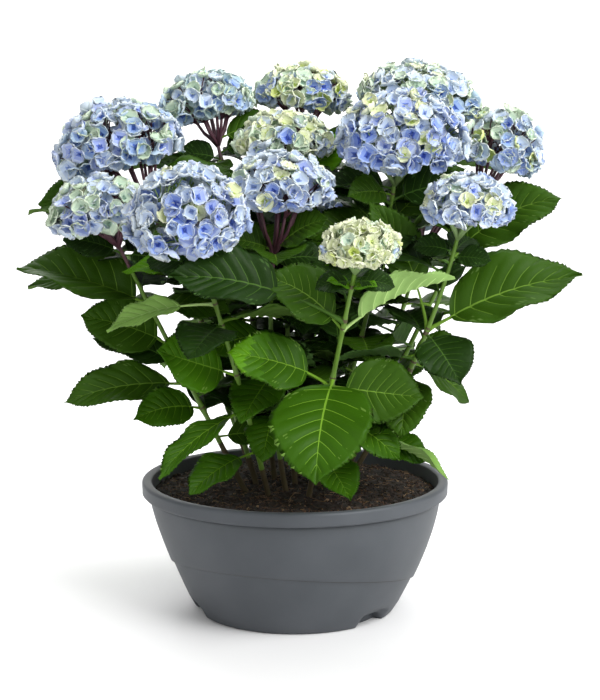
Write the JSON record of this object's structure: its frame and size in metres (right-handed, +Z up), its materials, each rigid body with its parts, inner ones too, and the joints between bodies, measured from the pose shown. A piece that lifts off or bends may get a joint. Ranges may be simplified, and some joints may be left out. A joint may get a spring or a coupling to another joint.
{
  "type": "potted hydrangea",
  "caption": "Potted mophead hydrangea: a bushy shrub with broad toothed leaves and domed blue to cream flower heads, in a round grey bowl planter filled with dark peat.",
  "frame": {"origin": "middle of the pot's flat underside, on the ground", "axes": "+Z up; -Y is the side the picture was taken from; +X is to that viewer's right"},
  "size_m": [0.648, 0.5775, 0.6545],
  "materials": {
    "pot_plastic": "matte blue-grey polypropylene with a fine grain",
    "peat": "dark crumbly potting peat",
    "stem": "green shoots, brown and woody at the foot",
    "florets": "thin petal-like sepals, lavender blue with cream rims",
    "leaves": "dark green leaves with a soft sheen and pale veins"
  },
  "bodies": {
    "root": {"bloom_back_left": "florets", "bloom_back_middle": "florets", "bloom_back_right": "florets", "bloom_front_small": "florets", "bloom_left_front": "florets", "bloom_left_high": "florets", "bloom_left_low": "florets", "bloom_middle_front": "florets", "bloom_middle_high": "florets", "bloom_rear_left": "florets", "bloom_rear_middle": "florets", "bloom_rear_right": "florets", "bloom_right_front": "florets", "bloom_right_high": "florets", "bloom_right_outer": "florets", "peat": "peat", "pot": "pot_plastic", "spray_back_left_lower": "leaves", "spray_back_left_upper": "leaves", "spray_back_middle_lower": "leaves", "spray_back_middle_upper": "leaves", "spray_back_right_lower": "leaves", "spray_back_right_upper": "leaves", "spray_front_small_lower": "leaves", "spray_front_small_upper": "leaves", "spray_left_front_lower": "leaves", "spray_left_front_upper": "leaves", "spray_left_high_lower": "leaves", "spray_left_high_upper": "leaves", "spray_left_low_lower": "leaves", "spray_left_low_upper": "leaves", "spray_middle_front_lower": "leaves", "spray_middle_front_upper": "leaves", "spray_middle_high_upper": "leaves", "spray_rear_left_lower": "leaves", "spray_rear_left_upper": "leaves", "spray_rear_middle_upper": "leaves", "spray_rear_right_lower": "leaves", "spray_rear_right_upper": "leaves", "spray_right_front_lower": "leaves", "spray_right_front_upper": "leaves", "spray_right_high_lower": "leaves", "spray_right_high_upper": "leaves", "spray_right_outer_lower": "leaves", "spray_right_outer_upper": "leaves", "stem_back_left": "stem", "stem_back_middle": "stem", "stem_back_right": "stem", "stem_front_small": "stem", "stem_left_front": "stem", "stem_left_high": "stem", "stem_left_low": "stem", "stem_middle_front": "stem", "stem_middle_high": "stem", "stem_rear_left": "stem", "stem_rear_middle": "stem", "stem_rear_right": "stem", "stem_right_front": "stem", "stem_right_high": "stem", "stem_right_outer": "stem"}
  },
  "joints": []
}
